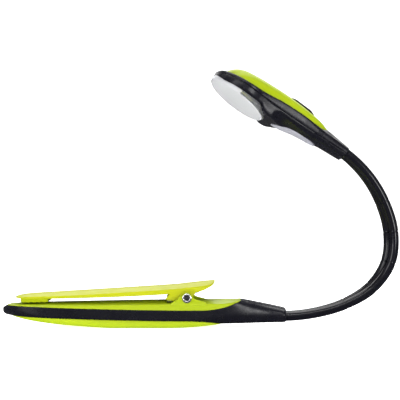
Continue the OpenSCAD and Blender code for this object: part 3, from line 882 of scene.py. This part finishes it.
ARC_END = (HEAD_R * (1 + math.cos(math.radians(60))), HEAD_R * math.sin(math.radians(60)))
head_taper = outline((ARC_END, (34, 8.0), (50, 6.2)), ((50, 6.2), (HEAD_LEN, 5.3)))
rim_top = outline(((0, 0.7), (2.5, 1.1), (5, 1.1)), ((5, 1.1), (10, 1.0), (17, 1.2)),
                  ((17, 1.2), (23, 1.5), (30, 2.8)), ((30, 2.8), (36, 3.4), (43, 3.3)),
                  ((43, 3.3), (50, 3.0)), ((50, 3.0), (58, 2.8), (HEAD_LEN, 2.2)))
head_under = outline(((0, -1.0), (1.5, -2.3), (6, -3.05)), ((6, -3.05), (17, -3.5)), ((17, -3.5), (24, -3.4)),
                     ((24, -3.4), (25.2, -5.0), (27, -5.5)), ((27, -5.5), (28.5, -5.8), (30.2, -5.65)),
                     ((30.2, -5.65), (34.5, -5.5), (38.5, -4.2)), ((38.5, -4.2), (41.5, -3.6), (46, -3.65)),
                     ((46, -3.65), (53, -3.3)), ((53, -3.3), (HEAD_LEN, -3.15)))
# the underside's crease runs from the side wall behind the lens down to the end of the trim
crease_half = outline(((33, 8.5), (41, 6.4), (50, 2.3)), ((50, 2.3), (54, 4.6)), ((54, 4.6), (HEAD_LEN, 4.3)))
crease_low = outline(((33, -1.9), (41, -2.6), (50, -3.5)), ((50, -3.5), (54, -2.4)),
                     ((54, -2.4), (HEAD_LEN, -2.3)))
base_half = outline(((33, 5.2), (35, 2.6), (38, 3.1)), ((38, 3.1), (43, 4.1), (47, 2.9)),
                    ((47, 2.9), (50, 1.6)), ((50, 1.6), (54, 1.0)), ((54, 1.0), (HEAD_LEN, 0.8)))
crown_line = outline(((3.4, 0.9), (4.8, 6.5), (14, 7.1)), ((14, 7.1), (21, 7.9), (28, 7.98)),
                     ((28, 7.98), (46, 7.98), (58, 3.7)))
END_LEAN = 0.5              # how far the collar's end leans, for each mm of depth
TIP_INSET = 0.7
END_ROUND = 0.6
COVER_START = 3.5
COVER_END = 54.6


def head_half(u):
    if u < ARC_END[0]:
        radius = HEAD_R - TIP_INSET * (1 - blend_between(u, 0, 9))
        return math.sqrt(max(0.0, radius ** 2 - (HEAD_R - u) ** 2))
    return head_taper(u)


def tip_round(u):
    """0 at the very tip and 1 from 2 mm behind it, on a quarter circle."""
    return swell((u - TIP_INSET) / 2)


def quad(p0, p1, p2, t):
    return tuple(p0[k] * (1 - t) ** 2 + p1[k] * 2 * t * (1 - t) + p2[k] * t * t for k in (0, 1))


def mirrored_ring(u, half_points):
    """A closed ring at u from (half width, z) points that run from the top's middle to the bottom's."""
    lean = END_LEAN * blend_between(u, 60, HEAD_LEN)
    ring = [(u - lean * max(0.0, PARTING - z), y, z) for y, z in half_points]
    return ring + [(x, -y, z) for x, y, z in reversed(ring[1:-1])]


def housing_ring(u, inset=0.0):
    """Section of the lower shell: a side wall, the crease, a drawn-in flank and the underside."""
    w = max(0.02, head_half(u) - inset)
    top = PARTING - 0.05
    low = head_under(u) + inset
    low = lerp(PARTING - 0.6, low, tip_round(u))
    k = blend_between(u, 29.6, 33.5)
    crease = (lerp(w, min(w, crease_half(u)), k),
              lerp(lerp(top, low, 0.5), max(low + 0.1, crease_low(u)), k))
    edge = min(0.45, 0.3 * (top - low), 0.3 * w)
    base = (lerp(w - edge, min(w - edge, base_half(u)), k), low)
    points = [(w * t, top) for t in (0, 0.25, 0.5, 0.75, 0.92)]
    points += [(w - WALL_EDGE, top), (w - 0.05, top - 0.05), (w, top - WALL_EDGE)]
    bend = (lerp(crease[0], w, 0.9), lerp(top, crease[1], 0.75))
    points += [quad((w, top - WALL_EDGE), bend, crease, t / 7) for t in range(1, 8)]
    flank = (lerp(crease[0], base[0], 0.5), lerp(crease[1], base[1], lerp(0.5, 0.6, k)))
    flank = (lerp(w, flank[0], k), lerp(low + edge, flank[1], k))
    points += [quad(crease, flank, base, t / 6) for t in range(1, 7)]
    points += [(base[0] * t, low) for t in (0.9, 0.7, 0.45, 0.2, 0)]
    return mirrored_ring(u, [(max(0.0, y), z) for y, z in points])


def head_rings(section):
    """Sections of a head shell from the tip to the collar, with the collar's end rounded."""
    rings = [section(u) for u in stations(TIP_INSET + 0.03, 14, 22, near_start) + stations(14.6, 23.6, 14)
             + stations(24, 35, 34) + stations(35.6, 56, 34) + stations(57, HEAD_LEN - END_ROUND, 10)]
    return rings + [section(HEAD_LEN - END_ROUND + END_ROUND * reach, END_ROUND * fall)
                    for reach, fall in quarter(4)]


def collar_cut():
    """Slot in the collar's end that the neck goes into."""
    point, ahead, wide, thick = neck_at(8)
    return loft("cut", [[tuple(point + ahead * depth + wide * (4.1 * x) + thick * (2.15 * y))
                         for x, y in circle(48)] for depth in (-1.6, 3.0)])


def head_housing():
    obj = loft("head_housing_shell", head_rings(housing_ring), HEAD, sharp=math.radians(32))
    seat = cylinder("cut", 13.8, -9, 0, LENS, 128)
    combine(obj, [seat, collar_cut()], "DIFFERENCE")
    place_piece(obj, "head", BLACK, "black_plastic", "head_housing")


def rim_ring(u, inset=0.0):
    """Section of the upper shell: a side wall with a rounded shoulder and, near the neck, a raised crown."""
    w = max(0.02, head_half(u) - inset)
    low = PARTING + 0.05
    high = rim_top(u) - inset
    high = lerp(PARTING + 0.5, high, tip_round(u))
    crown = 2.0 * blend_between(u, 44, 54) * lerp(1.0, 0.45, max(0.0, (u - 54) / (HEAD_LEN - 54)))
    shoulder = min(0.8 * (high - low), lerp(0.75, 2.0, blend_between(u, 40, 56)))
    points = [(0, high + crown)]
    flat = max(0.0, w - shoulder)
    points += [(flat * t, high + crown * (1 - t * t)) for t in (0.15, 0.3, 0.45, 0.6, 0.75, 0.88, 1)]
    points += [(flat + (w - flat) * reach, high - shoulder * fall) for reach, fall in quarter(6)]
    points += [(w, lerp(high - shoulder, low + WALL_EDGE, 0.5)), (w, low + WALL_EDGE), (w - 0.05, low + 0.05),
               (w - WALL_EDGE, low)]
    points += [(w * t, low) for t in (0.92, 0.75, 0.5, 0.25, 0)]
    return mirrored_ring(u, [(max(0.0, y), z) for y, z in points])


def head_rim():
    obj = loft("head_rim_shell", head_rings(rim_ring), HEAD)
    combine(obj, [collar_cut(), pill("cut", 14.6, 7.8, 2.0, 12, BUTTON_PLACE)], "DIFFERENCE")
    place_piece(obj, "head", BLACK, "black_plastic", "head_rim")


def cover_half(u):
    ends = swell((u - COVER_START) / 9) * swell((COVER_END - u) / 10)
    return max(0.03, (head_half(u) - 0.9) * ends)


def cover_ring(u):
    """Section of the dome, rounded down to the rim on both sides."""
    base = rim_top(u) - 0.5
    surface = rim_top(u) + 2.0 * blend_between(u, 44, 54)
    high = max(crown_line(u), base + 0.1)
    if u > 50:
        high = lerp(high, surface, blend_between(u, 50, COVER_END))
    half = cover_half(u)
    ring = []
    count = 32
    for i in range(count + 1):
        a = math.pi * i / count
        c, s = math.cos(a), math.sin(a)
        ring.append((u, half * math.copysign(abs(c) ** 0.8, c), base + (high - base) * abs(s) ** 0.85))
    ring += [(u, half * (-1 + 2 * i / 12), base) for i in range(1, 12)]
    return ring


def head_cover():
    rings = [cover_ring(u) for u in stations(COVER_START + 0.03, 20, 28, near_start) + stations(21, 42, 20)
             + stations(43, COVER_END - 0.03, 30, near_stop)]
    obj = loft("head_cover_dome", rings, HEAD)
    combine(obj, [pill("cut", 14.2, 7.4, 2.0, 12, BUTTON_PLACE)], "DIFFERENCE")
    place_piece(obj, "head", LIME, "lime_plastic", "head_cover")


def pill_outline(length, width):
    """A slot's outline with round ends."""
    r = width / 2
    points = []
    for side in (1, -1):
        for angle in stations(-90, 90, 16):
            a = math.radians(angle)
            points.append((side * (length / 2 - r + r * math.cos(a)), side * r * math.sin(a)))
    return points


def pill(name, length, width, low, high, place):
    return extrusion(name, pill_outline(length, width), low, high, place)


def power_button():
    length, width, base = 13.6, 6.8, 3.7
    levels = []
    # how far each ring is inside the outline, and how far below the crowned top; the first is the base
    steps = ((0, None), (0, 0.9), (0.08, 0.5), (0.3, 0.22), (0.7, 0.06), (1.4, 0), (2.2, 0), (2.9, 0))
    for inset, fall in steps:
        ring = []
        for x, y in pill_outline(length - 2 * inset, width - 2 * inset):
            height = 8.65 - 0.021 * (x + 2) ** 2 - 0.02 * y * y
            ring.append((x, y, base if fall is None else height - fall))
        levels.append(ring)
    obj = loft("power_button_cap", levels, BUTTON_PLACE)
    place_piece(obj, "button", BUTTON, "button_plastic", "power_button")


LENS_R = 13.7
LENS_FACE = -4.0
FLUTES = 52
FLUTE_STEPS = 6
FLUTE_DEPTH = 0.5
CHIPS = 5
CHIP_RING = 5.2             # radius of the circle that the chips stand on


def lens():
    """A clear puck with a fluted side wall, hollow behind its face."""
    steps = FLUTES * FLUTE_STEPS
    # radius, height, and 1 where the wall is fluted
    levels = [(0.4, LENS_FACE, 0), (LENS_R - 1.5, LENS_FACE, 0), (LENS_R - 0.95, LENS_FACE + 0.05, 0),
              (LENS_R - 0.6, LENS_FACE + 0.25, 0), (LENS_R - 0.1, LENS_FACE + 0.7, 1),
              (LENS_R, LENS_FACE + 1.0, 1), (LENS_R, LENS_FACE + 2.1, 1), (LENS_R, LENS_FACE + 2.3, 0),
              (LENS_R, -0.15, 0), (LENS_R - 1.1, -0.15, 0), (LENS_R - 1.25, LENS_FACE + 1.7, 0),
              (LENS_R - 1.9, LENS_FACE + 1.25, 0), (0.4, LENS_FACE + 1.2, 0)]
    rings = []
    for r, z, fluted in levels:
        ring = []
        for i, (x, y) in enumerate(circle(steps)):
            wave = abs((i % FLUTE_STEPS) / FLUTE_STEPS - 0.5) * 2
            reach = r - FLUTE_DEPTH * blend_between(x, -0.2, 0.7) * wave * fluted
            ring.append((reach * x, reach * y, z))
        rings.append(ring)
    obj = loft("lens_disc", rings, LENS, sharp=math.radians(24))
    place_piece(obj, "head", CLEAR, "clear_lens", "lens")
    obj.data.materials.append(FLUTED)
    back = LENS.inverted()
    for polygon in obj.data.polygons:
        x, y, z = back @ (polygon.center / MM)
        if x > 0 and LENS_FACE + 0.3 < z and math.hypot(x, y) > LENS_R - 0.9:
            polygon.material_index = 1


def chip_places():
    return [LENS @ Matrix.Translation((x, y, 0)) for x, y in circle(CHIPS, CHIP_RING)]


def reflector():
    top = -2.2
    r = 12.5
    obj = lathe("reflector_dish", [(0.02, top), (r - 0.8, top), (r, top + 0.3), (r, top + 1.4),
                                   (0.02, top + 1.4)], LENS, 96)
    cup = [(0.02, top - 0.1), (2.9, top - 0.1), (2.9, top), (2.2, top + 0.5), (2.0, top + 1.5),
           (0.02, top + 1.5)]
    combine(obj, [lathe("cut", cup, place, 32) for place in chip_places()], "DIFFERENCE")
    place_piece(obj, "head", WHITE, "reflector_plastic", "reflector")


def led_chips():
    low = -1.4
    parts = []
    for place in chip_places():
        chip = block("led_chip_group", (-1.4, -1.4, low), (1.4, 1.4, low + 0.6), place)
        bevel(chip, 0.12)
        parts.append(chip)
    first = parts[0]
    work = bmesh.new()
    for part in parts:
        work.from_mesh(part.data)
    work.to_mesh(first.data)
    work.free()
    for part in parts[1:]:
        bpy.data.objects.remove(part)
    place_piece(first, "head", PHOSPHOR, "led_yellow", "led_chips")


trim_low = outline(((31.6, -5.95), (36, -5.5), (40, -4.45)), ((40, -4.45), (43, -3.95), (47, -4.0)),
                   ((47, -4.0), (52, -4.15)))


def leaf_half(u):
    return max(0.03, 3.55 * swell((u - 31.7) / 9.5, root=0.6) * swell((51.8 - u) / 9.8, root=0.7))


def underside_trim():
    rings = []
    for u in stations(31.75, 51.75, 30, near_both):
        low = trim_low(u)
        rings.append(slab_ring(u, low, low + 0.95, lambda v, z: leaf_half(v), 0.3, 0.0, 0.1))
    obj = loft("underside_trim_leaf", rings, HEAD)
    place_piece(obj, "head", SILVER, "silver_trim", "underside_trim")


# ---------------------------------------------------------------- carried CAD nodes

def dress_carried():
    for material, nodes in ((CELL, CELLS),
                            (BRASS, ("contact_positive", "contact_negative", "contact_link")),
                            (STEEL, ("case_screws", "head_screws", "neck_root_ferrule", "neck_head_ferrule")),
                            (WIRE, ("case_wires", "head_wires")),
                            (SWITCH, ("button_switch",)), (BOARD, ("led_board",))):
        for node in nodes:
            dress(frame["nodes"][node], material)


# ---------------------------------------------------------------- studio

PAPER_GLOW = 0.9            # strength of the paper's own light, which keeps it white in the view


def floor():
    """A pale sweep: flat under the lamp, then curving up into a wall far behind it. Reflections see it dark,
    as they would with black cards laid round the lamp."""
    reach, radius, half, height = 0.9, 0.8, 2.5, 3.0
    profile = [(-half, 0.0), (reach, 0.0)]
    profile += [(reach + radius * along, radius * rise) for along, rise in quarter(16)]
    profile.append((reach + radius, height))
    points = [(x, y, z) for y, z in profile for x in (-half, half)]
    faces = [(2 * i, 2 * i + 1, 2 * i + 3, 2 * i + 2) for i in range(len(profile) - 1)]
    mesh = bpy.data.meshes.new("sweep")
    mesh.from_pydata(points, [], faces)
    mesh.shade_smooth()
    obj = add("sweep", mesh)
    material, tree, shader = new_material("paper_white")
    cloud = ranged(tree, noise_node(tree, 3), 0.0, 1.0)
    reflected = tree.nodes.new("ShaderNodeLightPath").outputs["Is Glossy Ray"]
    paper = mixed(tree, cloud, (0.93, 0.93, 0.93), (0.95, 0.95, 0.95))
    tree.links.new(mixed(tree, reflected, paper, (0.06, 0.06, 0.06)), shader.inputs["Base Color"])
    fill(shader, {"Roughness": 0.9, "Specular IOR Level": 0.2, "Emission Color": (1, 1, 1, 1)})
    glow = ranged(tree, reflected, PAPER_GLOW, 0.0, 0.0, 1.0)
    tree.links.new(glow, shader.inputs["Emission Strength"])
    dress(obj, material)


def area_light(name, place, aim, size, power):
    light = bpy.data.lights.new(name, "AREA")
    light.shape = "RECTANGLE"
    light.size, light.size_y = size
    light.energy = power
    obj = add(name, light)
    obj.location = place
    obj.rotation_euler = (Vector(aim) - Vector(place)).to_track_quat("-Z", "Y").to_euler()


def studio():
    world = bpy.data.worlds.new("studio")
    world.use_nodes = True
    bpy.context.scene.world = world
    fill(world.node_tree.nodes["Background"], {"Color": (1, 1, 1, 1), "Strength": 0.2})
    middle = (0.03, 0.0, 0.05)
    area_light("top", (0.0, 0.12, 0.8), middle, (0.9, 0.5), 5.2)
    area_light("front_left", (-0.55, -0.75, 0.16), middle, (0.35, 0.5), 1.5)
    area_light("front_right", (0.60, -0.80, 0.12), middle, (0.2, 0.5), 2.2)
    area_light("back_top", (0.03, 0.60, 0.42), middle, (0.9, 0.3), 1.8)
    area_light("high_strip", (0.03, -0.70, 0.62), middle, (0.9, 0.07), 1.6)
    bpy.context.scene.view_settings.view_transform = "Standard"


def camera():
    data = bpy.data.cameras.new("camera")
    data.lens = 144
    data.sensor_width = 36
    data.clip_start = 0.01
    obj = add("camera", data)
    obj.location = (0.0294, -0.670, 0.0529)
    obj.rotation_euler = (math.radians(90), 0, 0)
    bpy.context.scene.camera = obj


for build in (camera, studio, floor, case_frame, top_shell, battery_door, clip_lever, clip_pad, clip_pin,
              clip_spring, neck, head_housing, head_rim, head_cover, power_button, lens, reflector, led_chips,
              underside_trim, dress_carried):
    build()
